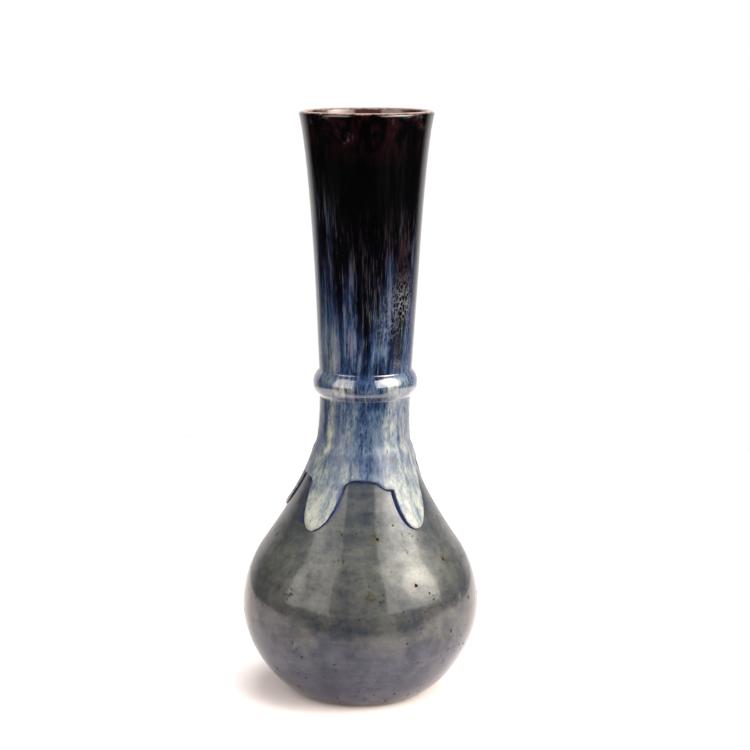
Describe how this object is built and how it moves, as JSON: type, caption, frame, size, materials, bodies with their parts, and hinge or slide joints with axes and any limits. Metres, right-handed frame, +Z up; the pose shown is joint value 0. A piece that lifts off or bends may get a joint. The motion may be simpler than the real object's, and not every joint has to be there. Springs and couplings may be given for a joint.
{
  "type": "pottery vase",
  "caption": "Stoneware bottle vase with a round belly, a raised collar on its throat and a long flared neck, dipped in a running glaze over a plain one.",
  "frame": {"origin": "centre of the face that the foot ring rests on", "axes": "+Z up along the foot's axis, the pictured front towards -Y, the neck's slight lean towards +X"},
  "size_m": [0.1428, 0.1428, 0.3498],
  "materials": {
    "bulb": "fired stoneware clay, unglazed, matt",
    "neck": "fired stoneware clay, matt",
    "collar_ring": "fired stoneware clay, matt",
    "joint_slip": "fired slip, matt",
    "bulb_glaze": "gloss grey-green glaze with pinholes",
    "neck_glaze": "gloss running glaze, oxblood at the lip through blue to cream",
    "liner_glaze": "gloss dark brown liner glaze"
  },
  "bodies": {
    "root": {"bulb": "bulb", "neck": "neck", "collar_ring": "collar_ring", "joint_slip": "joint_slip", "bulb_glaze": "bulb_glaze", "neck_glaze": "neck_glaze", "liner_glaze": "liner_glaze"}
  },
  "joints": []
}
